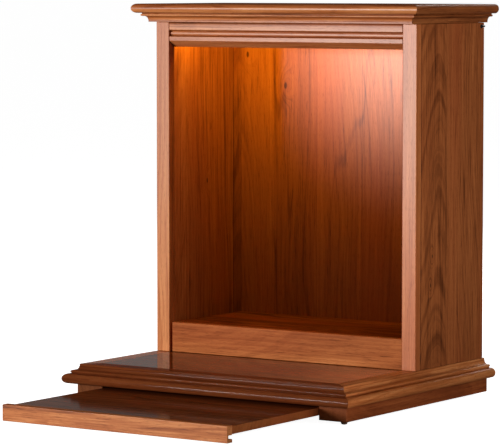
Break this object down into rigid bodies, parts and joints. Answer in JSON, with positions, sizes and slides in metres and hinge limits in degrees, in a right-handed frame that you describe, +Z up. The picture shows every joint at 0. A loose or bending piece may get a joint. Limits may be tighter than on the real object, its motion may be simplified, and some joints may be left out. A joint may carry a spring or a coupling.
{
  "type": "household altar cabinet",
  "caption": "Open-fronted wooden altar cabinet with a moulded cornice, inner step, deep moulded base on a plinth, and an offering tray that slides out from under the base.",
  "frame": {"origin": "on the floor plane that the four glides stand on, under the middle of the bounding box with the tray pulled out", "axes": "+Z up; -Y out of the open front, the way the tray is pulled; +X towards the right side as seen from the front, the side with the cable outlet"},
  "size_m": [0.4272, 0.5326, 0.4962],
  "materials": {
    "frame_wood": "semi-gloss clear lacquer on reddish-brown straight-grained hardwood, grain along each length",
    "panel_wood": "semi-gloss clear lacquer on darker figured hardwood boards",
    "back_ply": "lacquered veneered ply inside, plainer behind",
    "hidden_wood": "sanded, thinly stained, matt",
    "outlet_black": "black moulded plastic",
    "glide_brown": "dark brown moulded plastic, scuffed underneath"
  },
  "bodies": {
    "cabinet": {"back_panel": "back_ply", "base_board": "panel_wood", "base_moulding_front": "frame_wood", "base_moulding_left": "frame_wood", "base_moulding_right": "frame_wood", "cable_outlet": "outlet_black", "cornice_front": "frame_wood", "cornice_left": "frame_wood", "cornice_right": "frame_wood", "glide_back_left": "glide_brown", "glide_back_right": "glide_brown", "glide_front_left": "glide_brown", "glide_front_right": "glide_brown", "plinth_rail_back": "hidden_wood", "plinth_rail_left": "panel_wood", "plinth_rail_right": "panel_wood", "side_panel_left": "panel_wood", "side_panel_right": "panel_wood", "step_end_left": "hidden_wood", "step_end_right": "hidden_wood", "step_riser": "frame_wood", "step_top": "panel_wood", "stile_left": "frame_wood", "stile_right": "frame_wood", "top_board": "panel_wood", "top_rail": "frame_wood", "tray_runner_left": "hidden_wood", "tray_runner_right": "hidden_wood"},
    "tray": {"tray_board": "panel_wood", "tray_front": "frame_wood"}
  },
  "joints": [
    {"name": "tray_slide", "type": "slide", "parent": "cabinet", "child": "tray", "axis": [0, 1, 0], "range_m": [0, 0.1859]}
  ]
}
